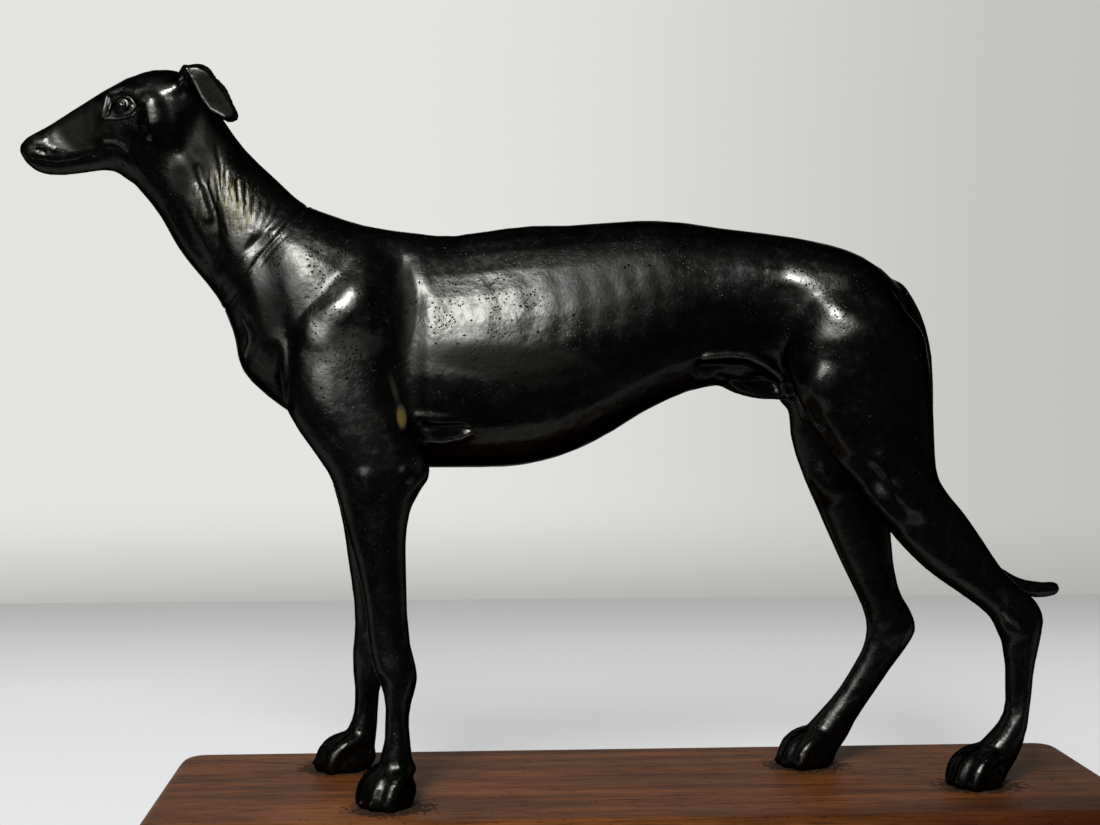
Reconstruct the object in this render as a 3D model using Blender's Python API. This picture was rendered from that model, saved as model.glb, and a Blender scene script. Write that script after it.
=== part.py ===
"""A cast bronze greyhound standing on a mahogany base.

Metres, +Z up. The origin is the middle of the base's underside, and the dog looks along -X.
The greyhound is one casting: body, head, ears, collar, legs, paws and tail in one skin.
The base is one board with rounded corners and a rounded upper edge.
"""

import math

import bmesh
import bpy
import numpy as np
from mathutils import Vector

# Driving sizes in metres

FIGURE_HEIGHT = 0.320  # soles to the top of the ears
BASE_HEIGHT = 0.028
BASE_FRONT_MARGIN = 0.065  # from the foremost toes to the base's end
BASE_REAR_MARGIN = 0.049
BASE_SIDE_MARGIN = 0.0225
BASE_CORNER_RADIUS = 0.012
BASE_EDGE_RADIUS = 0.006  # the rounded upper edge
SEAT_GAP = 0.0003  # between the soles and the wood

# The figure's own proportions are written in 320ths of its height.
# x runs towards the tail, y towards the dog's right side, z up from the soles.
UNIT = FIGURE_HEIGHT / 320.0
STANCE_FRONT = -149.0
STANCE_REAR = 165.0
STANCE_LEFT = -43.0
STANCE_RIGHT = 40.0

CLAY_GRAIN = 1.25  # cell size of the skin that joins the masses
CASTING_TRIANGLES = 9400
RING_SIDES = 28
RIB_TRIM = 0.9  # the joined skin stands this far outside its ribs


def smooth_stations(rows, between):
    """Rows of numbers with more rows put in between on a smooth curve through them all."""
    rows = np.array(rows, float)
    padded = np.vstack([2 * rows[0] - rows[1], rows, 2 * rows[-1] - rows[-2]])
    out = []
    for i in range(1, len(padded) - 2):
        before, start, end, after = padded[i - 1 : i + 3]
        for step in range(between):
            t = step / between
            out.append(
                0.5
                * (
                    2 * start
                    + (end - before) * t
                    + (2 * before - 5 * start + 4 * end - after) * t**2
                    + (3 * start - before - 3 * end + after) * t**3
                )
            )
    out.append(rows[-1])
    return np.array(out)


def skin_rings(clay, rings):
    """Closed tube through the rings, its two ends filled."""
    loops = [[clay.verts.new(Vector(p)) for p in ring] for ring in rings]
    count = len(loops[0])
    faces = []
    for one, two in zip(loops[:-1], loops[1:]):
        for i in range(count):
            j = (i + 1) % count
            faces.append(clay.faces.new((one[i], one[j], two[j], two[i])))
    faces.append(clay.faces.new(loops[0][::-1]))
    faces.append(clay.faces.new(loops[-1]))
    bmesh.ops.recalc_face_normals(clay, faces=faces)


def add_ribs(clay, ribs, between=4):
    """A mass drawn in side view: each rib runs from one edge point to the other.

    A rib is (x, z) of its upper or front edge, (x, z) of its lower or back edge,
    y of its middle, its half width, and how much wider it is towards the first edge."""
    rings = []
    for ax, az, bx, bz, y, half_width, egg in smooth_stations(ribs, between):
        middle = np.array([(ax + bx) / 2, y, (az + bz) / 2])
        half = np.array([(ax - bx) / 2, 0, (az - bz) / 2])
        half *= 1 - RIB_TRIM / np.linalg.norm(half)
        ring = []
        for i in range(RING_SIDES):
            turn = 2 * math.pi * i / RING_SIDES
            side = half_width * math.sin(turn) * (1 + egg * math.cos(turn))
            ring.append(middle + half * math.cos(turn) + np.array([0, side, 0]))
        rings.append(ring)
    skin_rings(clay, rings)


def add_tube(clay, points, between=3, sides=16):
    """A round tapering mass along (x, y, z, radius) points, with round ends."""
    path = smooth_stations(points, between)
    tangents = np.gradient(path[:, :3], axis=0)
    rings = []
    for (x, y, z, radius), tangent in zip(path, tangents):
        along = Vector(tangent).normalized()
        across = along.orthogonal().normalized() if not rings else (
            across - along * across.dot(along)
        ).normalized()
        other = along.cross(across)
        ring = []
        for i in range(sides):
            turn = 2 * math.pi * i / sides
            spoke = across * math.cos(turn) + other * math.sin(turn)
            ring.append(np.array((x, y, z)) + radius * np.array(spoke))
        rings.append(ring)
    skin_rings(clay, rings)
    for x, y, z, radius in (path[0], path[-1]):
        add_ball(clay, (x, y, z), (radius, radius, radius))


def add_ball(clay, middle, radii, lean=0.0, turn=0.0):
    """An ellipsoid, leaned about Y and then turned about Z, in degrees."""
    made = bmesh.ops.create_icosphere(clay, subdivisions=3, radius=1.0)["verts"]
    pitch, yaw = math.radians(lean), math.radians(turn)
    for vert in made:
        x, y, z = (c * r for c, r in zip(vert.co, radii))
        x, z = x * math.cos(pitch) + z * math.sin(pitch), z * math.cos(pitch) - x * math.sin(pitch)
        x, y = x * math.cos(yaw) - y * math.sin(yaw), x * math.sin(yaw) + y * math.cos(yaw)
        vert.co = Vector((x, y, z)) + Vector(middle)


# The trunk and the neck are one mass, from the throat to the rump

TRUNK = [
    (-190.5, 307, -226, 267.5, 0, 13.5, 0.0),
    (-183.6, 296.0, -220.4, 261.8, 0, 14.5, -0.05),
    (-174, 282.6, -212, 250.6, 0, 16.0, -0.08),
    (-162, 270.8, -203, 234.8, 0, 18.5, -0.08),
    (-149, 259.0, -187.6, 215.5, 0, 22.0, -0.05),
    (-137, 254.0, -180.5, 199.5, 0, 26.0, 0.0),
    (-124, 249.8, -176.5, 183.0, 0, 29.0, 0.0),
    (-112, 247.6, -160, 167.5, 0, 30.5, -0.12),
    (-100, 246.3, -134, 152.5, 0, 31.2, -0.22),
    (-86, 245.2, -106, 141.4, 0, 32.0, -0.28),
    (-68, 247.4, -79, 140.0, 0, 33.2, -0.28),
    (-52, 249.6, -54, 140.8, 0, 33.4, -0.24),
    (-34, 250.0, -34, 145.6, 0, 32.8, -0.18),
    (-16, 251.2, -16, 153.8, 0, 30.8, -0.12),
    (2, 252.3, 2, 164.8, 0, 28.4, -0.06),
    (20, 251.4, 20, 173.0, 0, 25.8, 0.0),
    (38, 248.8, 38, 177.0, 0, 24.0, 0.06),
    (56, 246.8, 56, 178.5, 0, 24.0, 0.10),
    (74, 244.2, 74, 176.0, 0, 26.0, 0.15),
    (92, 239.6, 92, 170.0, 0, 26.5, 0.25),
    (108, 231.2, 106, 166.0, 0, 23.0, 0.28),
    (119, 220.0, 117, 170.0, 0, 15.0, 0.15),
    (125, 209.0, 124, 182.0, 0, 7.0, 0.0),
]

HEAD = [
    (-272.0, 283.6, -271.5, 277.4, 0, 3.2, 0.0),
    (-268.5, 287.2, -267.0, 271.6, 0, 5.2, 0.0),
    (-261.0, 291.2, -259.0, 268.4, 0, 6.4, 0.05),
    (-251.0, 297.6, -248.0, 269.0, 0, 7.4, 0.05),
    (-241.5, 303.6, -238.5, 270.4, 0, 9.0, 0.12),
    (-232.0, 309.3, -231.0, 270.2, 0, 11.6, 0.20),
    (-222.5, 314.0, -224.4, 265.8, 0, 14.6, 0.20),
    (-212.0, 316.8, -216.4, 263.4, 0, 16.8, 0.15),
    (-202.0, 316.0, -207.0, 264.4, 0, 16.6, 0.05),
    (-193.0, 308.0, -199.0, 268.0, 0, 14.0, 0.0),
]


def add_ear(clay, side):
    """A rose ear: it rises from the skull, folds over, and its flap hangs back beside the neck."""
    add_ribs(
        clay,
        [
            (-205.0, 306.5, -194.2, 309.0, side * 11.0, 4.4, 0.0),
            (-202.5, 312.0, -191.6, 313.4, side * 13.0, 3.8, 0.0),
            (-199.8, 316.6, -189.2, 316.2, side * 15.6, 2.6, 0.0),
            (-197.6, 311.6, -184.4, 312.4, side * 17.6, 2.0, 0.0),
            (-195.0, 305.8, -181.4, 307.0, side * 18.2, 1.8, 0.0),
            (-192.4, 300.6, -178.8, 302.0, side * 18.2, 1.7, 0.0),
            (-189.4, 296.0, -177.0, 297.4, side * 17.8, 1.6, 0.0),
            (-185.6, 293.0, -176.4, 294.6, side * 17.2, 1.5, 0.0),
        ],
    )


LEFT_FORELEG = [
    (-126, 240, -112, 241, -8.0, 5.0, 0.0),
    (-144, 230, -104, 232, -13.5, 10.5, 0.0),
    (-153, 216, -101, 219, -17.5, 13.6, 0.0),
    (-158, 203, -100, 207, -20.0, 14.8, 0.0),
    (-160, 188, -99.5, 192, -22.0, 15.4, 0.0),
    (-157, 171, -98.6, 175, -24.2, 14.8, 0.0),
    (-150.4, 158.5, -96.6, 160, -26.4, 13.6, 0.0),
    (-142, 147, -93.6, 147, -28.0, 12.4, 0.0),
    (-136.2, 137.5, -94.4, 137, -28.6, 11.4, 0.0),
    (-132.6, 126, -100.2, 125.5, -29.0, 10.2, 0.0),
    (-129.2, 112.5, -102.5, 112, -29.4, 9.2, 0.0),
    (-125.2, 98, -102.4, 98, -29.8, 8.2, 0.0),
    (-122.0, 80, -101.8, 80, -30.2, 7.4, 0.0),
    (-120.8, 67, -100.6, 67, -30.6, 7.6, 0.0),
    (-119.0, 58.5, -98.6, 59, -30.8, 8.2, 0.0),
    (-116.0, 51, -97.8, 52, -31.0, 7.8, 0.0),
    (-114.0, 43.5, -100.2, 43.5, -31.0, 6.8, 0.0),
    (-113.6, 35, -101.6, 35, -31.0, 6.4, 0.0),
    (-114.2, 26, -101.0, 25.5, -31.2, 7.0, 0.0),
    (-116.5, 17, -99.8, 14, -31.5, 8.2, 0.0),
    (-120.0, 9, -100.0, 6, -32.0, 9.0, 0.0),
]

RIGHT_FORELEG = [
    (-126, 240, -112, 241, 8.0, 5.0, 0.0),
    (-144, 230, -104, 232, 13.5, 10.5, 0.0),
    (-153, 216, -101, 219, 17.5, 13.6, 0.0),
    (-159, 203, -101, 207, 20.0, 14.8, 0.0),
    (-162, 188, -101, 192, 22.0, 15.4, 0.0),
    (-160, 171, -100, 175, 24.0, 14.8, 0.0),
    (-154, 158, -98.5, 160, 25.5, 13.6, 0.0),
    (-147, 147, -97, 146.5, 26.5, 12.4, 0.0),
    (-142, 137.5, -99, 137, 27.0, 11.4, 0.0),
    (-138.6, 126, -105.3, 125.5, 27.5, 10.2, 0.0),
    (-135.6, 112.5, -108.8, 112, 28.0, 9.2, 0.0),
    (-133.2, 95, -110.4, 95, 28.4, 8.2, 0.0),
    (-131.0, 79, -111.0, 79, 28.8, 7.4, 0.0),
    (-130.4, 65, -111.0, 65, 29.0, 7.6, 0.0),
    (-131.4, 54, -111.8, 54, 29.0, 8.2, 0.0),
    (-131.2, 46, -113.2, 47, 29.0, 7.6, 0.0),
    (-130.4, 37, -116.6, 37, 29.0, 6.8, 0.0),
    (-130.4, 29, -117.6, 29, 29.0, 6.4, 0.0),
    (-131.8, 22, -118.0, 20.5, 29.0, 7.0, 0.0),
    (-135.5, 15, -118.8, 13, 29.0, 8.2, 0.0),
    (-140.0, 9, -119.5, 6, 29.0, 9.0, 0.0),
]

LEFT_HIND_LEG = [
    (74, 238, 94, 236, -8.5, 5.0, 0.0),
    (68, 228, 99, 227, -11.5, 9.0, 0.0),
    (61.5, 215, 113, 214, -15.5, 13.6, 0.0),
    (60.5, 202, 123.5, 202, -18.5, 16.4, 0.0),
    (61, 190, 126.6, 189, -19.2, 16.8, 0.0),
    (64, 177, 128.2, 175, -19.5, 16.0, 0.0),
    (69.5, 165, 129.0, 162, -19.5, 14.8, 0.0),
    (78, 152.5, 129.6, 149, -19.5, 13.4, 0.0),
    (87.0, 139.5, 130.8, 138, -19.8, 12.0, 0.0),
    (96.0, 127, 135.8, 129.8, -20.0, 10.8, 0.0),
    (104.5, 116.5, 143.2, 121.3, -20.0, 9.6, 0.0),
    (115.5, 103.8, 152.6, 107.9, -20.0, 8.4, 0.0),
    (127.0, 93.6, 160.6, 96.6, -19.5, 7.4, 0.0),
    (140.5, 84.3, 168.2, 89.0, -19.0, 6.8, 0.0),
    (151.0, 76.5, 176.2, 82.4, -18.5, 6.8, 0.0),
    (156.8, 69.0, 179.8, 74.0, -18.0, 6.8, 0.0),
    (159.2, 61.5, 178.4, 64, -17.6, 6.4, 0.0),
    (160.8, 52, 176.4, 53, -17.2, 5.8, 0.0),
    (161.4, 42, 175.2, 42.5, -16.8, 5.8, 0.0),
    (161.2, 32, 174.0, 31.5, -16.4, 6.4, 0.0),
    (157.0, 24.5, 172.4, 21, -16.0, 7.6, 0.0),
    (148.0, 15.5, 168.5, 11, -16.0, 8.4, 0.0),
    (143.0, 8, 164.0, 4, -16.0, 8.8, 0.0),
]

RIGHT_HIND_LEG = [
    (74, 238, 94, 236, 8.5, 5.0, 0.0),
    (68, 228, 99, 227, 11.5, 9.0, 0.0),
    (60, 215, 112, 214, 15.5, 13.6, 0.0),
    (57.5, 202, 121.0, 202, 18.5, 16.4, 0.0),
    (58, 190, 122.5, 189, 19.2, 16.8, 0.0),
    (65.5, 177, 122.5, 175, 19.6, 16.0, 0.0),
    (70.6, 166, 121.5, 162, 20.0, 14.8, 0.0),
    (71.4, 155.5, 120.4, 149, 20.3, 13.4, 0.0),
    (74, 145, 120.0, 138, 20.6, 12.0, 0.0),
    (78.6, 133, 120.4, 126, 21.0, 10.8, 0.0),
    (84.0, 121, 121.0, 114.5, 21.4, 9.6, 0.0),
    (90.4, 106.5, 122.2, 103, 21.8, 8.4, 0.0),
    (97.0, 92.3, 123.8, 91, 22.2, 7.4, 0.0),
    (103.0, 80.3, 126.8, 80, 22.4, 6.8, 0.0),
    (107.0, 71, 131.8, 71.5, 22.6, 6.8, 0.0),
    (108.4, 63.5, 134.4, 63, 22.8, 6.8, 0.0),
    (106.8, 54.5, 130.2, 55, 22.9, 6.4, 0.0),
    (101.4, 44, 122.4, 44.5, 23.0, 5.8, 0.0),
    (94.4, 33.2, 114.0, 32.5, 23.0, 5.8, 0.0),
    (86.6, 24.0, 106.4, 21.5, 23.2, 6.8, 0.0),
    (79.0, 15.5, 101.5, 12.0, 23.8, 8.2, 0.0),
    (75.0, 8.5, 96.0, 4.0, 24.0, 8.8, 0.0),
]

# Muscles and bones that swell the skin: middle with y outwards, three radii, lean.
# The first list is on both sides, the others on one leg each.

SWELLINGS = [
    ((-131, 19.0, 219), (15, 8.5, 8), -38),
    ((-149, 21.0, 196), (9, 10.0, 14), -10),
    ((-143, 25.0, 180), (9, 10.0, 17), 18),
    ((-115, 24.5, 190), (13, 10.0, 26), 8),
    ((101, 20.5, 194), (16, 14.0, 27), 0),
    ((77, 23.0, 186), (9, 11.0, 20), 20),
    ((70, 13.0, 227), (14, 10.0, 9), 20),
]
LEFT_SWELLINGS = [
    ((-97.5, 31.0, 142), (4.6, 6.0, 7.5), 0),
    ((-121, 32.0, 137), (6.5, 6.0, 12), 8),
    ((-109, 31.0, 57), (8.6, 8.8, 6), 0),
    ((165, 18.0, 70), (9, 7.6, 7), 30),
]
RIGHT_SWELLINGS = [
    ((-101, 29.0, 142), (4.6, 6.0, 7.5), 0),
    ((-126, 29.0, 137), (6.5, 6.0, 12), 8),
    ((-121, 29.0, 52), (8.6, 8.8, 6), 0),
    ((119, 22.6, 62), (9, 7.6, 7), 30),
]


TAIL = [
    (114, 0, 217, 8.5),
    (122, 0, 206, 7.0),
    (127, 0, 190, 6.0),
    (128.5, 0.5, 170, 5.6),
    (128.5, 1, 150, 5.2),
    (131, 1.5, 134, 4.9),
    (138, 2, 117, 4.6),
    (149.5, 3, 103, 4.4),
    (163, 4, 92, 4.2),
    (176, 4.5, 85.2, 4.0),
    (185.5, 5, 83.4, 3.8),
    (191.6, 5, 84.0, 3.4),
]

SHEATH = [(36, 0, 181.0, 3.2), (44, 0, 177.4, 4.2), (56, 0, 175.6, 4.8), (72, 0, 176.5, 5.5)]

# A paw: the ankle's middle above the ground, where the paw points in degrees, its reach

PAWS = {
    "left_fore": {"ankle": (-107.6, -31.6), "points": 222, "reach": 0.95},
    "right_fore": {"ankle": (-128.0, 29.0), "points": 189, "reach": 1.05},
    "left_hind": {"ankle": (154.8, -16.4), "points": 196, "reach": 1.0},
    "right_hind": {"ankle": (87.2, 24.0), "points": 194, "reach": 1.05},
}
TOES = [(-8.6, -3.4), (-3.0, 0.0), (3.0, 0.0), (8.6, -3.4)]  # across the paw, set back


def add_paw(clay, ankle, points, reach):
    """Four arched toes with their claws in front of a round pad."""
    heading = math.radians(points)
    ahead = np.array([math.cos(heading), math.sin(heading)])
    across = np.array([-ahead[1], ahead[0]])

    def place(forward, sideways, height):
        ground = np.array(ankle) + ahead * forward * reach + across * sideways
        return (*ground, height)

    for sideways, set_back in TOES:
        add_tube(
            clay,
            [
                (*place(-3.0, sideways * 0.55, 14.5), 3.2),
                (*place(7.5 + set_back, sideways * 0.88, 12.4), 3.6),
                (*place(13.0 + set_back, sideways, 9.0), 3.6),
                (*place(15.6 + set_back, sideways * 1.05, 4.0), 3.4),
                (*place(15.6 + set_back, sideways * 1.05, 0.0), 3.2),
            ],
        )
        add_ball(clay, place(9.0 + set_back, sideways, 3.6), (7.5, 3.3, 6.4), turn=points)
    add_ball(clay, place(0.6, 0, 5.5), (8.8 * reach, 9.4, 8.0), turn=points)
    add_ball(clay, place(6.0, 0, 5.0), (9.5 * reach, 10.0, 8.6), turn=points)


def smoothstep(value):
    value = np.clip(value, 0.0, 1.0)
    return value * value * (3 - 2 * value)


def vertex_arrays(mesh):
    points = np.empty(len(mesh.vertices) * 3)
    mesh.vertices.foreach_get("co", points)
    normals = np.empty(len(mesh.vertices) * 3)
    mesh.vertex_normals.foreach_get("vector", normals)
    return points.reshape(-1, 3), normals.reshape(-1, 3)


def distance_to_line(points, line):
    """Distance of each point to a line of corners, in as many axes as the corners have."""
    line = np.array(line, float)
    nearest = np.full(len(points), np.inf)
    for start, end in zip(line[:-1], line[1:]):
        along = end - start
        share = np.clip((points - start) @ along / (along @ along), 0, 1)
        gap = np.linalg.norm(points - start - share[:, None] * along, axis=1)
        nearest = np.minimum(nearest, gap)
    return nearest


def stroke(mesh, line, reach, height, sides):
    """Raises, or with a negative height presses in, a soft stroke drawn in side view.

    It acts on the dog's left (-1) and right (1) side, where the skin faces sideways."""
    points, normals = vertex_arrays(mesh)
    gap = distance_to_line(points[:, [0, 2]], [(x, z) for x, z in line])
    shape = np.clip(1 - (gap / reach) ** 2, 0, 1) ** 2
    for side in sides:
        facing_out = smoothstep((normals[:, 1] * side - 0.25) / 0.4)
        here = smoothstep(points[:, 1] * side / 4.0)
        points = points + normals * (height * shape * facing_out * here)[:, None]
    mesh.vertices.foreach_set("co", points.ravel())
    mesh.update()


# Carving in side view: a line, how far it reaches, and how high it stands

BOTH_SIDES = [
    ([(-101, 214), (-100.4, 184), (-98, 160)], 7.0, -1.5),
    ([(-104, 230), (-101, 212)], 7.0, -0.8),
    ([(-111, 234), (-107, 205), (-106, 172)], 12.0, -1.6),
    ([(-138, 203), (-118, 199)], 9.0, -1.2),
    ([(-153, 198), (-152.5, 185), (-154, 170)], 5.0, -1.4),
    ([(-166, 238), (-160, 218), (-157, 204)], 8.0, -1.5),
    ([(-175, 206), (-171.5, 198), (-174, 189)], 3.4, -1.0),
    ([(-193, 276), (-190, 262), (-186, 250), (-184, 231)], 6.0, -1.3),
    ([(-203, 256), (-196, 240), (-189, 228)], 5.0, -1.0),
    ([(-97, 164), (-86, 162.5)], 3.4, 1.0),
    ([(-96, 154.5), (-80, 155.5), (-76, 158)], 3.4, 1.2),
    ([(26, 185), (46, 184.5), (60, 176)], 6.0, -2.4),
    ([(28, 190.6), (46, 190.6), (55, 186.6), (63, 181)], 3.8, 1.3),
    ([(71, 205), (80, 199), (86, 194)], 12.0, -1.2),
    ([(63, 214), (62, 190)], 12.0, -1.2),
    ([(-225.5, 298.0), (-224.0, 298.4)], 9.5, -1.7),
    ([(-225.0, 298.6), (-224.6, 298.6)], 4.8, 2.3),
    ([(-233, 303.5), (-226, 306.8), (-217, 304)], 4.0, 0.8),
    ([(-212.5, 299), (-211.5, 290)], 7.0, 1.1),
    ([(-207, 289), (-210, 279)], 9.0, 0.8),
    ([(-219, 288), (-221, 279)], 6.0, -0.8),
    ([(-238, 291), (-251, 285)], 7.0, -0.8),
    ([(-196, 292), (-197, 280)], 6.0, -1.4),
    ([(-205, 305), (-199, 307)], 5.0, 0.8),
]
LEFT_SIDE = [
    ([(90, 142), (100, 129), (114, 113)], 4.2, 1.0),
    ([(101, 147), (110, 134), (122, 121)], 5.0, 1.0),
    ([(96, 143), (106, 131), (119, 116)], 4.0, -0.8),
    ([(128, 116), (142, 101), (156, 88)], 4.2, -1.1),
    ([(166, 68), (167, 45), (165, 30)], 3.0, -0.6),
]
RIGHT_SIDE = [
    ([(80, 160), (92, 142), (98, 130)], 8.0, 1.0),
    ([(84, 134), (96, 112), (108, 92)], 4.2, -0.8),
    ([(113, 108), (114, 92), (118, 80)], 3.4, -0.8),
    ([(118, 62), (108, 45), (98, 32)], 3.0, -0.6),
]


def build_greyhound(material):
    clay = bmesh.new()
    add_ribs(clay, TRUNK)
    add_ribs(clay, HEAD)
    for side in (-1, 1):
        add_ear(clay, side)
    for leg in (LEFT_FORELEG, RIGHT_FORELEG, LEFT_HIND_LEG, RIGHT_HIND_LEG):
        add_ribs(clay, leg)
    for paw in PAWS.values():
        add_paw(clay, **paw)
    for side, ones in ((-1, SWELLINGS + LEFT_SWELLINGS), (1, SWELLINGS + RIGHT_SWELLINGS)):
        for (x, y, z), radii, lean in ones:
            add_ball(clay, (x, y * side, z), radii, lean)
    add_tube(clay, TAIL)
    add_tube(clay, SHEATH)
    add_ball(clay, (80, 0, 167.5), (9.5, 9.0, 9.5), lean=30)
    mesh = bpy.data.meshes.new("greyhound")
    clay.to_mesh(mesh)
    clay.free()
    figure = bpy.data.objects.new("greyhound", mesh)
    bpy.context.scene.collection.objects.link(figure)
    apply_modifier(figure, "REMESH", mode="VOXEL", voxel_size=CLAY_GRAIN)
    points, _ = vertex_arrays(figure.data)
    flesh = smoothstep((points[:, 2] - 22) / 45)
    flesh *= 0.35 + 0.65 * smoothstep((points[:, 0] + 222) / 26)
    flesh *= smoothstep((184 - points[:, 0]) / 12)
    ears = smoothstep((np.abs(points[:, 1]) - 13) / 4) * smoothstep((points[:, 2] - 284) / 6)
    flesh = 0.06 + 0.94 * flesh * (1 - 0.97 * ears)
    soft = figure.vertex_groups.new(name="soft")
    for index, share in enumerate(flesh.round(2)):
        soft.add([index], float(share), "REPLACE")
    apply_modifier(figure, "SMOOTH", factor=0.5, iterations=24, vertex_group="soft")
    for sides, strokes in (((-1, 1), BOTH_SIDES), ((-1,), LEFT_SIDE), ((1,), RIGHT_SIDE)):
        for line, reach, height in strokes:
            stroke(figure.data, line, reach, height, sides)
    apply_modifier(figure, "SMOOTH", factor=0.5, iterations=4, vertex_group="soft")
    cut_soles(figure)
    place_figure(figure.data)
    apply_modifier(
        figure, "DECIMATE", ratio=CASTING_TRIANGLES / (2 * len(figure.data.polygons))
    )
    finish(figure, material, math.radians(60))
    return figure


def cut_soles(figure):
    """Everything under the soles goes, and each sole is closed flat."""
    work = bmesh.new()
    work.from_mesh(figure.data)
    everything = work.verts[:] + work.edges[:] + work.faces[:]
    cut = bmesh.ops.bisect_plane(
        work, geom=everything, dist=0.05, plane_co=(0, 0, 0), plane_no=(0, 0, 1), clear_inner=True
    )
    rim = [item for item in cut["geom_cut"] if isinstance(item, bmesh.types.BMEdge)]
    bmesh.ops.holes_fill(work, edges=rim, sides=0)
    bmesh.ops.recalc_face_normals(work, faces=work.faces[:])
    bmesh.ops.triangulate(work, faces=[f for f in work.faces if len(f.verts) > 4])
    work.to_mesh(figure.data)
    work.free()


def place_figure(mesh):
    """From the figure's own units to metres, standing on the base."""
    middle = ((STANCE_FRONT * UNIT - BASE_FRONT_MARGIN) + (STANCE_REAR * UNIT + BASE_REAR_MARGIN)) / 2
    across = (STANCE_LEFT + STANCE_RIGHT) * UNIT / 2
    shift = np.array([-middle, -across, BASE_HEIGHT + SEAT_GAP])
    points, _ = vertex_arrays(mesh)
    mesh.vertices.foreach_set("co", (points * UNIT + shift).ravel())
    mesh.update()


def build_base(material):
    """The board: rounded corners in plan and a rounded upper edge."""
    length = (STANCE_REAR - STANCE_FRONT) * UNIT + BASE_FRONT_MARGIN + BASE_REAR_MARGIN
    width = (STANCE_RIGHT - STANCE_LEFT) * UNIT + 2 * BASE_SIDE_MARGIN
    board = bmesh.new()
    bmesh.ops.create_cube(board, size=1.0)
    for vert in board.verts:
        vert.co = Vector((vert.co.x * length, vert.co.y * width, (vert.co.z + 0.5) * BASE_HEIGHT))
    uprights = [e for e in board.edges if abs(e.verts[0].co.z - e.verts[1].co.z) > BASE_HEIGHT / 2]
    bmesh.ops.bevel(
        board, geom=uprights, offset=BASE_CORNER_RADIUS, segments=8, profile=0.5, affect="EDGES"
    )
    top = max(board.faces, key=lambda face: face.calc_center_median().z)
    bmesh.ops.bevel(
        board, geom=top.edges[:], offset=BASE_EDGE_RADIUS, segments=5, profile=0.5, affect="EDGES"
    )
    mesh = bpy.data.meshes.new("wooden_base")
    board.to_mesh(mesh)
    board.free()
    base = bpy.data.objects.new("wooden_base", mesh)
    bpy.context.scene.collection.objects.link(base)
    finish(base, material, math.radians(40))
    return base


def apply_modifier(obj, kind, **settings):
    """Adds one of Blender's modifiers and keeps its result as the mesh."""
    modifier = obj.modifiers.new(kind.title(), kind)
    for name, value in settings.items():
        setattr(modifier, name, value)
    graph = bpy.context.evaluated_depsgraph_get()
    made = bpy.data.meshes.new_from_object(obj.evaluated_get(graph))
    obj.modifiers.clear()
    obj.data = made


def finish(obj, material, sharp_angle):
    obj.data.name = obj.name
    obj.data.materials.clear()
    obj.data.materials.append(material)
    obj.data.shade_smooth()
    obj.data.set_sharp_from_angle(angle=sharp_angle)


def make_material(name, colour, roughness, metallic):
    material = bpy.data.materials.new(name)
    material.use_nodes = True
    shader = material.node_tree.nodes["Principled BSDF"]
    shader.inputs["Base Color"].default_value = (*colour, 1.0)
    shader.inputs["Roughness"].default_value = roughness
    shader.inputs["Metallic"].default_value = metallic
    return material


def main():
    for obj in list(bpy.data.objects):
        bpy.data.objects.remove(obj)
    bronze = make_material("dark_bronze", (0.030, 0.027, 0.022), 0.32, 0.85)
    mahogany = make_material("mahogany", (0.17, 0.065, 0.035), 0.45, 0.0)
    build_base(mahogany)
    build_greyhound(bronze)


main()
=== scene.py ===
"""A bronze greyhound standing on a mahogany board.

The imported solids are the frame. Each section dresses one piece, from the casting to the room.
"""

import math

import bmesh
import bpy
import numpy as np
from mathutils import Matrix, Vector


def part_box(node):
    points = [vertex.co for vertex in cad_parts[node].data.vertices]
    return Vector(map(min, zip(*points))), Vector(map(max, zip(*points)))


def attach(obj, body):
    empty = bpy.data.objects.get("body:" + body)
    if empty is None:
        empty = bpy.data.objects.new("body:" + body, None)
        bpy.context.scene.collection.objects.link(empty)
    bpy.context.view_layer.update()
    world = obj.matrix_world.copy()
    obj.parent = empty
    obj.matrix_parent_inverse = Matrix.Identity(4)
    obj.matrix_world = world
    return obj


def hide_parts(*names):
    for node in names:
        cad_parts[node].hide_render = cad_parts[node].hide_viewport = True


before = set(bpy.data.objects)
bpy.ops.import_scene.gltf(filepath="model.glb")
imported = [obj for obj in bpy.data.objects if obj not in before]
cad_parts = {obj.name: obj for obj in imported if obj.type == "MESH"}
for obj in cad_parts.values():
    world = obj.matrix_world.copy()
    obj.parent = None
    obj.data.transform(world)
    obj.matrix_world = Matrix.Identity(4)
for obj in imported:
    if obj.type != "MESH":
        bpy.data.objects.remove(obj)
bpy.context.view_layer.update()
bpy.ops.object.select_all(action="DESELECT")


# The greyhound's skin
# The whole dog is one lost-wax casting in bronze, about 4 mm thick and hollow inside.
# The solid's own skin is taken over here, and the next sections add to it and carve it.

WELD = 0.00001

dog = bpy.data.objects.new("bronze_greyhound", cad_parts["greyhound"].data.copy())
bpy.context.scene.collection.objects.link(dog)
bpy.context.view_layer.objects.active = dog
dog.select_set(True)
bpy.ops.object.mode_set(mode="EDIT")
bpy.ops.mesh.select_all(action="SELECT")
bpy.ops.mesh.remove_doubles(threshold=WELD)
bpy.ops.mesh.tris_convert_to_quads()
bpy.ops.object.mode_set(mode="OBJECT")
dog.select_set(False)


# The toes and claws
# Each paw is cast with the leg: four arched toes with a knuckle and a blunt claw, over a pad.
# They are added to the skin as separate rounds, and the finer grain melts them in.

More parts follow.
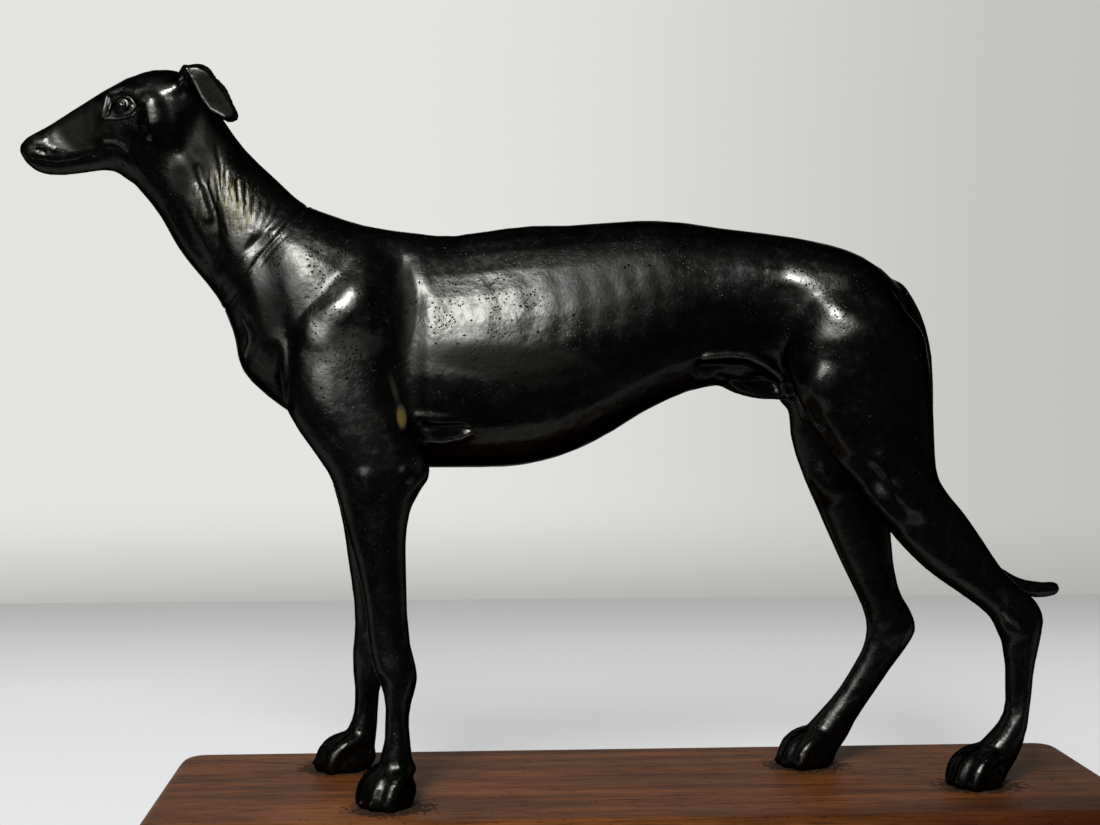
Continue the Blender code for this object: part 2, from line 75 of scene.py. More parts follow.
SOLE_GAP = 0.0003
FOOT_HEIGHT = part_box("wooden_base")[1].z + SOLE_GAP
SPINE_Y = 0.0015
PAWS = {
    "left fore": {"ankle": (-107.6, -31.6), "points": 222, "reach": 0.95},
    "right fore": {"ankle": (-128.0, 29.0), "points": 189, "reach": 1.05},
    "left hind": {"ankle": (154.8, -16.4), "points": 196, "reach": 1.0},
    "right hind": {"ankle": (87.2, 24.0), "points": 194, "reach": 1.05},
}

# Each toe: how far to the side of the paw's middle, and how far ahead of it.
TOES = [(-8.8, -3.6), (-3.0, 0.2), (3.1, 0.0), (8.8, -3.4)]

# Each round of a toe: how far ahead of the ankle, its share of the spread, its height, its radii.
KNUCKLE = (10.2, 0.96, 9.6, (4.6, 3.0, 4.0))
TOE_END = (14.4, 1.02, 5.2, (3.7, 3.1, 4.4))
CLAW = (17.3, 1.04, 2.2, (2.6, 1.7, 1.9))


def to_room(x, y, z):
    """From millimetres along, across and above the soles to metres in the room."""
    return (x / 1000, y / 1000 + SPINE_Y, z / 1000 + FOOT_HEIGHT)


def add_round(middle, radii, turn):
    """A ball pulled to three radii in millimetres and turned about the upright, at a place."""
    place = to_room(*middle)
    bpy.ops.mesh.primitive_ico_sphere_add(subdivisions=4, radius=0.001, location=place)
    ball = bpy.context.object
    ball.scale = radii
    ball.rotation_euler.z = math.radians(turn)
    bpy.ops.object.transform_apply(location=True, rotation=True, scale=True)
    return ball


added = []
for paw in PAWS.values():
    heading = math.radians(paw["points"])
    ahead = np.array([math.cos(heading), math.sin(heading)])
    across = np.array([-ahead[1], ahead[0]])
    for sideways, set_back in TOES:
        for forward, out, height, radii in (KNUCKLE, TOE_END, CLAW):
            reach = (forward + set_back) * paw["reach"]
            x, y = np.array(paw["ankle"]) + ahead * reach + across * sideways * out
            added.append(add_round((x, y, height), radii, paw["points"]))


# The ears
# Each ear is folded over at its top, and its flap hangs back as a leaf of even thickness.
# The right ear is carried a little higher, because the left one hides all of it in the photo.

BOTH = (-1, 1)
EAR_TOP = 314.2
EAR_LENGTH = 22.0
EAR_END = 292
EAR_OUT = 18.0
EAR_SPREAD = 0.06
EAR_THICKNESS = 0.0028
EAR_EDGE = 0.0009
RIGHT_EAR_LIFT = 4.4
EAR_LEAF = [
    (-197.6, 313.6),
    (-194.0, 308.2),
    (-190.8, 301.0),
    (-187.0, 295.4),
    (-181.0, 291.6),
    (-178.2, 291.4),
    (-176.4, 292.6),
    (-175.9, 294.8),
    (-178.8, 300.2),
    (-183.2, 306.2),
    (-187.0, 311.4),
    (-192.0, 314.2),
]


def keep_modifier(piece, kind, **settings):
    """Adds one modifier to the active piece and keeps its result as the mesh."""
    modifier = piece.modifiers.new(kind.title(), kind)
    for name, value in settings.items():
        setattr(modifier, name, value)
    bpy.context.view_layer.objects.active = piece
    bpy.ops.object.modifier_apply(modifier=modifier.name)


def to_figure(points):
    """From metres in the room to millimetres along, across and above the soles."""
    return (points - np.array([0.0, SPINE_Y, FOOT_HEIGHT])) * 1000.0


def read_points(mesh):
    """The corners of a mesh, in millimetres on the figure."""
    flat = np.empty(len(mesh.vertices) * 3)
    mesh.vertices.foreach_get("co", flat)
    return to_figure(flat.reshape(-1, 3))


def write_points(mesh, points):
    """Puts the corners of a mesh at places in millimetres on the figure."""
    placed = points / 1000.0 + np.array([0.0, SPINE_Y, FOOT_HEIGHT])
    mesh.vertices.foreach_set("co", placed.ravel())
    mesh.update()


def step(value):
    """0 below 0, 1 above 1, and a soft rise in between."""
    value = np.clip(value, 0.0, 1.0)
    return value * value * (3 - 2 * value)


def nearness(points, middle, radii):
    """1 round a place on the figure, fading to 0 at the radii."""
    away = np.linalg.norm((points - np.array(middle)) / np.array(radii), axis=1)
    return step(1.6 - 1.6 * away)


def nudge(middle, radii, shift):
    """Draws one part of the skin over by a shift in millimetres, fading out to the radii."""
    points = read_points(dog.data)
    share = nearness(points, middle, radii)
    write_points(dog.data, points + share[:, None] * np.array(shift))


# The solid's ear is drawn forward and up to make room for the leaf, and the right one is lifted.
for side in BOTH:
    lift = RIGHT_EAR_LIFT if side > 0 else 0.0
    nudge((-174, 16 * side, 289.5), (9.5, 9, 9), (-6.0, -2.0 * side, 8.0))
    nudge((-179, 17.5 * side, 293), (10, 7, 14), (-0.9 * lift, 0.0, 1.25 * lift))
    corners = []
    for x, z in EAR_LEAF:
        hang = lift * (EAR_TOP - z) / EAR_LENGTH
        x -= 0.9 * hang
        z += hang
        corners.append(to_room(x, side * (EAR_OUT + EAR_SPREAD * (z - EAR_END)), z))
    leaf = bpy.data.meshes.new("ear_leaf")
    leaf.from_pydata(corners, [], [range(len(corners))])
    flap = bpy.data.objects.new("ear_leaf", leaf)
    bpy.context.scene.collection.objects.link(flap)
    keep_modifier(flap, "SOLIDIFY", thickness=EAR_THICKNESS, offset=0.0)
    keep_modifier(flap, "BEVEL", width=EAR_EDGE, segments=2, limit_method="ANGLE")
    added.append(flap)


# The grain and the filing
# The added parts are melted into the skin, which is then filed smooth: least at the feet, at the
# muzzle, at the tail's end and on the ears, where the casting is sharp.

FINE_GRAIN = 0.00105
FILING_ROUNDS = 36
SEAM_KEEP = -0.25
PAW_TOP = 22
MUZZLE_BACK = -222
TAIL_END = 186
EAR_INSIDE = 13
EAR_FOOT = 284


def file_smooth(mesh, share, rounds, keep=-0.52):
    """Evens the skin without wearing it thinner: each round pulls in and then lets out again."""
    points = read_points(mesh)
    ends = np.empty(len(mesh.edges) * 2, int)
    mesh.edges.foreach_get("vertices", ends)
    ends = ends.reshape(-1, 2)
    here = np.concatenate([ends[:, 0], ends[:, 1]])
    there = np.concatenate([ends[:, 1], ends[:, 0]])
    count = np.bincount(here, minlength=len(points))[:, None]
    for _ in range(rounds):
        for pull in (0.5, keep):
            around = [np.bincount(here, points[there, i], len(points)) for i in range(3)]
            middle = np.stack(around, axis=1) / count
            points = points + (middle - points) * (pull * share)[:, None]
    write_points(mesh, points)


bpy.ops.object.select_all(action="DESELECT")
for part in added:
    part.select_set(True)
dog.select_set(True)
bpy.context.view_layer.objects.active = dog
bpy.ops.object.join()
keep_modifier(dog, "REMESH", mode="VOXEL", voxel_size=FINE_GRAIN)
bpy.ops.object.select_all(action="DESELECT")
points = read_points(dog.data)
flesh = step((points[:, 2] - PAW_TOP) / 45)
flesh *= 0.45 + 0.55 * step((points[:, 0] - MUZZLE_BACK) / 26)
flesh *= step((TAIL_END - points[:, 0]) / 10)
ears = step((np.abs(points[:, 1]) - EAR_INSIDE) / 4) * step((points[:, 2] - EAR_FOOT) / 6)
flesh = 0.12 + 0.88 * flesh * (1 - 0.8 * ears)
file_smooth(dog.data, flesh, FILING_ROUNDS)

# Seams where the limbs meet the body are drawn softer still, as in wax: place, reach and rounds.
SOFT_SEAMS = [
    ((-100, 28, 203), (10, 16, 36), 60),
    ((-155, 24, 222), (11, 18, 26), 50),
    ((66, 26, 206), (14, 16, 16), 50),
    ((68, 26, 182), (9, 14, 14), 30),
]
for middle, radii, rounds in SOFT_SEAMS:
    points = read_points(dog.data)
    points[:, 1] = np.abs(points[:, 1])
    file_smooth(dog.data, nearness(points, middle, radii), rounds, SEAM_KEEP)


# The carved features
# The sculptor modelled these in wax, and they were sharpened with a punch after casting.
# Every stroke is a line seen from the side: how far it reaches and how high it stands, in mm.

LEFT = (-1,)
RIGHT = (1,)
MIDDLE = (0,)
THIN = 2.7


def read_normals(mesh):
    """The way the skin faces at each corner."""
    flat = np.empty(len(mesh.vertices) * 3)
    mesh.vertex_normals.foreach_get("vector", flat)
    return flat.reshape(-1, 3)


def split_faces(piece, inside):
    """Cuts the faces of one region in four, where finer carving follows."""
    work = bmesh.new()
    work.from_mesh(piece.data)
    edges = [edge for edge in work.edges if all(inside(*vert.co) for vert in edge.verts)]
    bmesh.ops.subdivide_edges(work, edges=edges, cuts=1, use_grid_fill=True)
    bmesh.ops.triangulate(work, faces=[face for face in work.faces if len(face.verts) > 4])
    work.to_mesh(piece.data)
    work.free()


# Finer faces for the ears and the back of the head, for the paws, and round the eyes.
split_faces(dog, lambda x, y, z: x < -0.168 and z > 0.285)
split_faces(dog, lambda x, y, z: z < 0.049)
split_faces(dog, lambda x, y, z: -0.238 < x < -0.212 and 0.315 < z < 0.337 and abs(y) > 0.006)

rubbed = np.zeros(len(dog.data.vertices))


def carve(strokes, sides, look=1):
    """Raises strokes, or presses them in where the height is negative, on the skin facing out.

    A look of -1 carves the inner side of a leg. Thin raised strokes are noted as rubbed bright.
    """
    points = read_points(dog.data)
    normals = read_normals(dog.data)
    for line, reach, height in strokes:
        corners = np.array(line, float)
        low = corners.min(axis=0) - reach
        high = corners.max(axis=0) + reach
        flat = points[:, [0, 2]]
        near = np.flatnonzero(((flat > low) & (flat < high)).all(axis=1))
        gap = np.full(len(near), np.inf)
        for start, end in zip(corners[:-1], corners[1:]):
            along = end - start
            share = np.clip((flat[near] - start) @ along / (along @ along), 0, 1)
            off = flat[near] - start - share[:, None] * along
            gap = np.minimum(gap, np.linalg.norm(off, axis=1))
        shape = np.clip(1 - (gap / reach) ** 2, 0, 1) ** 2
        for side in sides:
            facing = 1.0
            if side:
                facing = step((normals[near, 1] * side * look - 0.15) / 0.35)
                facing = facing * step(points[near, 1] * side / 3.0)
            points[near] += normals[near] * (height * shape * facing)[:, None]
            if reach < THIN and height > 0:
                rubbed[near] = np.maximum(rubbed[near], shape * facing * min(1.0, height))
    write_points(dog.data, points)


def ring(x, z, radius, start=0, stop=360):
    """Corners of a round line, for the eye."""
    turns = np.radians(np.linspace(start, stop, 13))
    return [(x + radius * math.cos(turn), z + radius * math.sin(turn)) for turn in turns]


HEAD_FORMS = [
    ([(-225.2, 298.4), (-224.6, 298.4)], 5.4, 0.9),
    ([(-232.0, 294.4), (-230.4, 299.4), (-226.4, 302.4), (-221.8, 301.6), (-218.6, 297.8)], 1.3, -0.6),
    ([(-230.6, 304.2), (-225.6, 305.2), (-219.8, 303.6), (-216.4, 299.8)], 2.4, 0.45),
    ([(-232.6, 293.0), (-227.0, 292.5), (-220.6, 293.8), (-218.0, 296.4)], 1.2, 0.35),
    ([(-231.0, 289.8), (-224.0, 289.2), (-218.6, 291.2)], 3.4, -0.3),
    ([(-231.0, 302.0), (-231.4, 298.4), (-232.6, 294.2)], 1.8, -0.45),
    ([(-232.6, 303.0), (-233.0, 300.0), (-234.2, 294.0)], 1.4, 0.12),
    ([(-212.6, 298.0), (-211.6, 294.6), (-212.4, 291.0)], 7.5, 0.7),
    ([(-216.8, 296.0), (-216.2, 289.0)], 4.0, -0.3),
    ([(-213.0, 284.2), (-212.6, 283.9)], 1.9, 0.6),
    ([(-203.2, 304.4), (-202.2, 304.8)], 3.0, 0.5),
    ([(-199.8, 307.8), (-198.8, 308.0)], 2.6, 0.5),
    ([(-232.9, 291.9), (-236.0, 285.0)], 4.0, 0.3),
    ([(-225.0, 286.6), (-214.0, 279.6)], 4.4, -0.3),
]
MOUTH = [
    ([(-268.0, 276.0), (-262.6, 275.2), (-255.2, 274.0), (-246.0, 275.4), (-238.6, 277.9)], 1.3, -0.32),
    ([(-238.6, 277.9), (-235.4, 280.2), (-234.2, 282.0)], 1.3, -0.4),
    ([(-262.0, 277.6), (-254.0, 276.8), (-246.0, 278.2), (-239.6, 280.6)], 2.4, 0.2),
    ([(-233.4, 283.2), (-229.0, 283.0), (-225.4, 281.0), (-223.2, 279.2)], 1.4, 0.45),
    ([(-232.4, 281.2), (-228.0, 280.8), (-224.2, 278.6)], 1.4, -0.4),
    ([(-262.6, 279.8), (-259.6, 278.7)], 1.3, -0.55),
    ([(-258.0, 281.4), (-255.8, 280.0)], 1.8, 0.4),
    ([(-264.0, 283.6), (-260.4, 283.0)], 2.6, 0.35),
    ([(-258.0, 284.4), (-257.2, 280.6)], 2.4, -0.25),
]
EYE_RINGS = [
    (ring(-224.9, 298.5, 2.0), 0.62, -0.34),
    (ring(-224.9, 298.5, 3.5, 200, 340), 0.6, -0.2),
]
PUPIL = [
    ([(-225.1, 298.8), (-224.8, 298.6)], 0.9, -0.4),
]
LIP_NOTCH = [
    ([(-268.4, 276.4), (-266.4, 276.0)], 0.9, -0.8),
]
carve(HEAD_FORMS, BOTH)
carve(MOUTH, BOTH)
carve(EYE_RINGS, BOTH)
carve(PUPIL, BOTH)
carve(LIP_NOTCH, MIDDLE)

EAR_RIMS = [
    ([(-196.6, 313.2), (-193.4, 308.2), (-190.1, 301.2), (-186.4, 296.0), (-180.6, 292.9)], 0.9, 0.6),
]
carve(EAR_RIMS, LEFT)

NECK_FORMS = [
    ([(-192.8, 272.0), (-189.8, 262.2), (-185.6, 251.5), (-184.0, 245.4), (-184.1, 230.9)], 2.4, -0.5),
    ([(-192.0, 262.0), (-190.0, 256.0), (-188.6, 250.6)], 4.0, 0.7),
    ([(-202.7, 254.3), (-196.0, 243.0), (-189.0, 232.4)], 4.0, -0.3),
    ([(-200.0, 268.0), (-197.0, 262.0)], 5.0, -0.4),
]
HAIR = [
    [(-188.7, 269.8), (-189.2, 264.2), (-187.4, 258.7), (-185.1, 253.1)],
    [(-186.4, 269.8), (-186.0, 264.3), (-184.6, 257.8), (-182.4, 251.3), (-181.0, 242.9)],
    [(-184.0, 275.4), (-183.2, 268.9), (-182.3, 262.4), (-180.9, 256.9), (-180.1, 248.5)],
    [(-181.3, 269.9), (-180.9, 262.4), (-179.6, 255.0), (-178.7, 244.8)],
    [(-179.1, 262.4), (-177.7, 256.9), (-177.3, 251.3), (-176.4, 242.9)],
    [(-176.3, 266.2), (-175.4, 258.7), (-174.5, 251.3), (-174.1, 242.9)],
    [(-172.6, 264.3), (-172.2, 256.9), (-171.7, 248.5), (-171.3, 242.0)],
    [(-168.9, 258.8), (-169.4, 252.3), (-169.9, 244.8)],
    [(-165.2, 256.9), (-166.2, 251.4), (-168.1, 243.9)],
    [(-161.5, 256.0), (-162.9, 250.4), (-165.3, 244.8)],
    [(-192.0, 262.4), (-192.9, 256.8), (-193.9, 251.2)],
    [(-157.8, 255.1), (-160.2, 249.5), (-163.4, 244.9)],
    [(-185.4, 280.9), (-184.5, 275.4)],
]
carve(NECK_FORMS, BOTH)
carve([(line, 1.3, -0.2) for line in HAIR], BOTH)


# The collar
# It is a plain strap round the foot of the neck, cast with it and not a piece of its own.
# Its upper edge is a soft step, and its lower edge is a double line cut with a chisel.

COLLAR_TOP = [
    (-147.0, 258.4),
    (-151.3, 253.3),
    (-158.8, 248.6),
    (-168.1, 239.2),
    (-174.6, 232.7),
    (-179.0, 227.0),
    (-184.0, 221.5),
]
COLLAR_FOOT = [
    (-144.0, 259.0),
    (-149.0, 255.2),
    (-153.2, 248.6),
    (-157.9, 242.1),
    (-165.4, 233.7),
    (-171.0, 225.2),
    (-175.6, 218.7),
    (-180.6, 213.6),
    (-184.0, 211.0),
]


def beside(line, along, up):
    """The same line moved along and up by so many millimetres."""
    return [(x + along, z + up) for x, z in line]


carve([(COLLAR_TOP, 2.2, -0.22)], MIDDLE)
carve([(beside(COLLAR_TOP, 2.4, -1.4), 2.6, 0.16)], MIDDLE)
carve([(COLLAR_FOOT, 0.9, -0.5)], MIDDLE)
carve([(beside(COLLAR_FOOT, 1.9, -1.2), 0.7, -0.3)], MIDDLE)
carve([(beside(COLLAR_FOOT, -1.6, 1.0), 1.3, 0.18)], MIDDLE)


# The shoulder, the ribs and the hind end
# The muscles, tendons and folds are modelled low in the wax, so that the light runs over them.
# The strokes that both sides share are mirrored, because the photo shows the left side alone.

SHOULDER_FORMS = [
    ([(-125.5, 217.0), (-131.0, 211.0), (-140.5, 202.0)], 11.0, 1.3),
    ([(-141.0, 180.0), (-139.0, 172.0), (-136.0, 166.0)], 8.0, 0.5),
    ([(-101.1, 230.4), (-100.1, 222.9), (-100.1, 214.0)], 2.0, 0.15),
    ([(-153.3, 197.4), (-152.7, 184.9), (-154.0, 174.2), (-154.4, 168.0)], 2.4, -0.4),
    ([(-173.7, 205.8), (-170.8, 201.0), (-170.6, 196.6), (-173.4, 190.6)], 1.5, 0.5),
    ([(-170.6, 206.0), (-167.8, 201.0), (-167.8, 196.0), (-170.0, 191.0)], 2.0, -0.5),
    ([(-103.6, 141.6), (-103.0, 140.0)], 4.0, 1.1),
    ([(-120.4, 139.0), (-119.6, 134.0)], 6.0, 1.3),
    ([(-98.5, 165.0), (-89.1, 164.4), (-80.0, 163.4)], 2.8, 0.4),
    ([(-97.7, 160.6), (-88.0, 160.2), (-80.0, 160.4), (-74.6, 158.4)], 1.8, -0.8),
    ([(-97.7, 155.0), (-88.0, 154.0), (-79.6, 156.0), (-75.0, 158.6)], 1.7, 0.6),
]
carve(SHOULDER_FORMS, BOTH)

RIBS = (-72, -58, -45, -33, -22, -11, 0, 9)
RIB_LINES = [[(x, 226.0 + 0.04 * x), (x + 3.0, 212.0), (x + 1.0, 198.0)] for x in RIBS]
carve([(line, 5.0, 0.10) for line in RIB_LINES], BOTH)
carve([(beside(line, 6.0, 0.0), 4.0, -0.08) for line in RIB_LINES], BOTH)

HIND_FORMS = [
    ([(25.8, 190.3), (37.0, 191.4), (45.8, 190.5), (54.6, 186.6), (63.0, 180.9)], 2.0, 1.1),
    ([(27.0, 186.8), (37.0, 188.0), (46.0, 187.0), (54.5, 183.0), (61.5, 177.6)], 3.0, -0.8),
    ([(61.8, 180.1), (66.6, 171.9), (75.5, 158.0), (85.7, 142.3), (93.2, 130.5), (101.3, 120.4)],
     1.4, 0.5),
    ([(68.0, 176.0), (77.0, 160.0), (87.0, 145.0), (95.0, 133.0)], 3.0, -0.5),
    ([(86.0, 215.0), (90.0, 205.0)], 34.0, 3.4),
    ([(38.0, 222.0), (51.0, 218.0), (64.0, 209.0), (74.0, 203.0), (88.0, 197.5)], 15.0, 0.8),
    ([(46.4, 229.8), (61.8, 226.8), (71.0, 219.5), (82.8, 209.2)], 9.0, 0.6),
    ([(56.0, 226.5), (66.0, 221.5)], 5.0, 0.3),
    ([(76.0, 209.5), (80.0, 208.0)], 7.0, 0.3),
    ([(76.6, 178.6), (76.6, 176.0)], 11.0, 2.0),
    ([(87.2, 140.0), (91.8, 131.9)], 8.0, 1.4),
    ([(107.0, 128.0), (111.0, 124.0)], 12.0, 2.6),
    ([(97.0, 140.0), (106.0, 128.0), (117.0, 114.0)], 4.5, -0.5),
]
LEFT_HIND_FORMS = [
    ([(158.6, 77.4), (165.0, 71.6)], 1.6, 0.7),
    ([(161.6, 79.6), (168.0, 73.4)], 1.8, -0.5),
    ([(127.0, 112.0), (142.0, 98.0), (158.0, 84.0)], 2.2, -0.6),
    ([(169.0, 66.0), (168.6, 48.0), (166.4, 32.0)], 2.0, -0.35),
]
RIGHT_HIND_FORMS = [
    ([(117.0, 60.0), (107.0, 44.0), (97.0, 31.0)], 2.0, -0.4),
]
INNER_THIGH = [
    ([(83.0, 134.0), (88.0, 130.0)], 10.0, 2.0),
]
UNDER_FORMS = [
    ([(30.0, 177.8), (38.7, 175.8), (42.8, 171.9), (54.0, 171.0), (66.4, 170.9)], 1.4, 0.5),
    ([(34.0, 181.6), (46.0, 179.0), (60.0, 178.6)], 2.0, -0.8),
    ([(69.3, 169.0), (72.3, 163.1), (77.4, 159.1)], 1.4, -0.5),
    ([(116.8, 222.3), (122.8, 213.8), (127.7, 202.2), (129.6, 190.0)], 1.3, -0.9),
    ([(124.4, 200.0), (125.4, 180.0), (125.4, 150.0), (128.0, 136.0)], 1.3, -0.5),
]
carve(HIND_FORMS, BOTH)
carve(LEFT_HIND_FORMS, LEFT)
carve(RIGHT_HIND_FORMS, RIGHT)
carve(INNER_THIGH, BOTH, -1)
carve(UNDER_FORMS, BOTH)

note = dog.data.attributes.new("rubbed", "FLOAT", "POINT")
note.data.foreach_set("value", rubbed)
# The carved skin is brought down to fewer faces, which it can carry without a visible loss.
SKIN_TRIANGLES = 196000
triangles = 2 * len(dog.data.polygons)
keep_modifier(dog, "DECIMATE", ratio=min(1.0, SKIN_TRIANGLES / triangles))
bpy.context.view_layer.objects.active = dog
dog.select_set(True)
bpy.ops.object.shade_smooth()
dog.select_set(False)


# The patina
# Liver of sulphur over bronze gives the near-black skin; handling polishes the high places, and
# wax and verdigris gather olive and ochre in the low ones. Small casting pits stay unpolished.
# Patches of painted highlight lighten the skin where the light catches it, and patches of painted
# shade darken it where its forms turn from the light.

PATINA = [
    (0.3, (0.015, 0.0148, 0.0138)),
    (0.55, (0.024, 0.0238, 0.022)),
    (0.75, (0.0185, 0.0200, 0.0198)),
]
OLIVE_WAX = (0.0125, 0.012, 0.007)
# Painted shade: the near-black laid on patches where the forms turn from the light.
PAINTED_SHADE_DARK = (0.004, 0.004, 0.0034)
RUBBED_EDGE = (0.11, 0.107, 0.10)
# Polished bronze on the nose, and painted highlight on the other polished patches.
POLISH_AND_HIGHLIGHT_TINT = (0.20, 0.195, 0.185)
PIT_BLACK = (0.003, 0.003, 0.0025)
OCHRE_RUN = (0.060, 0.042, 0.010)
SKIN_RELIEF = 0.00045

# Places on the figure: how strong, the middle, the radii, how far it leans, and its even core.
PITTED = [
    (1.0, (-146, -24, 234), (34, 40, 22), 40, 0.35),
    (1.0, (-70, -34, 212), (34, 24, 26), 0, 0.35),
    (1.0, (68, -24, 218), (44, 30, 26), 30, 0.35),
    (1.0, (-128, -34, 200), (22, 24, 26), 0, 0.35),
]
# The nose is polished by handling; the other patches are painted highlight on the upper arm, the skull,
# the hip and the thigh.
POLISH_AND_HIGHLIGHT_SPOTS = [
    (1.0, (-262.5, 0, 284.5), (7, 7, 3.6), 0, 0.35),
    (0.3, (-131, -34, 210), (14, 30, 6), -45, 0.5),
    (0.25, (-139, -34, 179), (9, 30, 12), 0, 0.4),
    (0.3, (66, -24, 226), (13, 30, 7), 25, 0.3),
    (0.45, (82, -30, 203), (11, 30, 11), 30, 0.3),
    (0.35, (-203, -13, 303), (7, 20, 5), 0, 0.4),
    (0.3, (76, -30, 181), (9, 30, 10), 0, 0.3),
]
# Painted shade: patches where the skin is darker and rougher, standing in for shade on forms that turn
# from the light.
PAINTED_SHADE_PLACES = [
    (1.0, (-184.5, 0, 299.5), (19, 40, 19), 0, 0.75),
    (0.95, (-242, 0, 290), (24, 40, 14), 28, 0.55),
    (1.0, (-191, 0, 281), (12, 40, 21), 0, 0.45),
    (0.9, (-200, 0, 265), (8, 40, 17), -8, 0.4),
    (0.9, (-126, -34, 196), (17, 30, 9), 12, 0.4),
    (0.95, (-103.5, -34, 214), (6.5, 30, 28), 0, 0.6),
    (0.7, (-162, -25, 209), (10, 30, 18), 0, 0.3),
    (0.5, (-12, -34, 222), (58, 30, 34), 0, 0.3),
    (0.85, (-58, -34, 188), (54, 30, 12), 6, 0.4),
]
OCHRE_PLACES = [
    (1.0, (-105.2, -36, 165), (2.6, 12, 6.5), -6, 0.5),
    (0.35, (-108.2, -36, 176), (2.0, 12, 11), -16, 0.1),
]


class Wire:
    """A shader socket. Sums written with it add the Math nodes that work them out."""

    def __init__(self, tree, socket):
        self.tree = tree
        self.socket = socket

    def node(self, kind, settings, values, result=0):
        """Any other node: its settings are made first, then its sockets are filled."""
        made = self.tree.nodes.new(kind)
        for name, value in settings.items():
            if name == "stops":
                for _ in range(len(value) - 2):
                    made.color_ramp.elements.new(0.5)
                for element, (position, colour) in zip(made.color_ramp.elements, value):
                    element.position = position
                    element.color = (*colour, 1.0)
            else:
                setattr(made, name, value)
        for name, value in values.items():
            if isinstance(value, Wire):
                self.tree.links.new(value.socket, made.inputs[name])
            else:
                made.inputs[name].default_value = value
        return Wire(self.tree, made.outputs[result])

    def math(self, operation, first, second):
        """A sum of two numbers or wires."""
        return self.node("ShaderNodeMath", {"operation": operation}, {0: first, 1: second})

    def __add__(self, other):
        return self.math("ADD", self, other)

    def __radd__(self, other):
        return self.math("ADD", other, self)

    def __sub__(self, other):
        return self.math("SUBTRACT", self, other)

    def __rsub__(self, other):
        return self.math("SUBTRACT", other, self)

    def __mul__(self, other):
        return self.math("MULTIPLY", self, other)

    def __rmul__(self, other):
        return self.math("MULTIPLY", other, self)

    def between(self, low, high):
        """0 below low, 1 above high, and a soft rise in between."""
        settings = {"interpolation_type": "SMOOTHSTEP"}
        values = {"Value": self, "From Min": low, "From Max": high}
        return self.node("ShaderNodeMapRange", settings, values)

    def noise(self, scale, detail=3.0, rough=0.55, stretch=(1, 1, 1), lean=0.0):
        """Cloudy noise on this place, stretched along its axes after leaning about Y."""
        spot = self.node(
            "ShaderNodeMapping",
            {"vector_type": "POINT"},
            {"Vector": self, "Rotation": (0, lean, 0), "Scale": stretch},
        )
        values = {"Vector": spot, "Scale": scale, "Detail": detail, "Roughness": rough}
        return self.node("ShaderNodeTexNoise", {}, values)

    def cells(self, scale):
        """How far this place is from the nearest of many scattered dots."""
        return self.node("ShaderNodeTexVoronoi", {}, {"Vector": self, "Scale": scale})

    def patch(self, middle, radii, lean=0.0, core=0.35):
        """1 at a place on the figure in millimetres, fading to 0 at the radii."""
        spot = self.node(
            "ShaderNodeMapping",
            {"vector_type": "TEXTURE"},
            {
                "Vector": self,
                "Location": to_room(*middle),
                "Rotation": (0, math.radians(lean), 0),
                "Scale": tuple(radius / 1000 for radius in radii),
            },
        )
        away = self.node("ShaderNodeVectorMath", {"operation": "LENGTH"}, {0: spot}, "Value")
        return 1 - away.between(core, 1.0)

    def gather(self, places):
        """The sum of some patches, each at its own strength."""
        total = 0.0
        for strength, middle, radii, lean, core in places:
            total = total + strength * self.patch(middle, radii, lean, core)
        return total

    def tint(self, colour, share):
        """This colour with another laid over it."""
        values = {0: share, 6: self, 7: colour if isinstance(colour, Wire) else (*colour, 1.0)}
        return self.node("ShaderNodeMix", {"data_type": "RGBA"}, values, 2)


def start_finish(name):
    """A new material: its Principled shader and the place on the piece, in metres."""
    finish = bpy.data.materials.new(name)
    finish.use_nodes = True
    tree = finish.node_tree
    shader = tree.nodes["Principled BSDF"]
    place = Wire(tree, tree.nodes.new("ShaderNodeTexCoord").outputs["Object"])
    return finish, shader, place


def feed(wire, shader, name):
    """Links a wire to one socket of a shader."""
    wire.tree.links.new(wire.socket, shader.inputs[name])


bronze, shader, place = start_finish("patinated_bronze")
shader.inputs["Specular Tint"].default_value = (0.15, 0.15, 0.15, 1.0)
clouds = place.noise(38, 4)
mottle = place.noise(260, 5, 0.65)
speck_field = place.noise(90, 2)
pits = (1 - place.cells(620).between(0.16, 0.30)) * speck_field.between(0.42, 0.54)
big_pits = (1 - place.cells(210).between(0.09, 0.14)) * place.noise(60, 2).between(0.52, 0.60)
pit_ground = place.gather(PITTED).between(0.1, 0.7)
pits = (pits * (0.25 + 0.75 * pit_ground)).between(0.0, 1.0)
hair_ground = place.patch((-180, -15, 256), (22, 26, 26), 20)
neck_hair = place.noise(260, 3, 0.6, (3.2, 1.0, 0.35), math.radians(12))
olive = hair_ground * (0.35 + 0.65 * neck_hair.between(0.42, 0.62))
olive = olive + 0.5 * place.patch((-197, -17, 305), (9, 9, 8))
olive = olive + 0.6 * place.patch((-106, -32, 40), (6, 12, 16)) * mottle.between(0.45, 0.6)
olive = olive + 0.5 * place.patch((82, 14, 14), (12, 12, 8)) * mottle.between(0.45, 0.6)
ochre = place.gather(OCHRE_PLACES)
# Painted shade: the skin is darker and rougher on those patches.
painted_shade = place.gather(PAINTED_SHADE_PLACES).between(0.0, 1.0)
# Polish on the nose, and painted highlight on the other patches.
polish_and_highlight = place.gather(POLISH_AND_HIGHLIGHT_SPOTS).between(0.05, 0.95)

base = place.node("ShaderNodeValToRGB", {"stops": PATINA}, {"Fac": clouds})
base = base.tint(OLIVE_WAX, (olive * 0.9).between(0.0, 1.0))
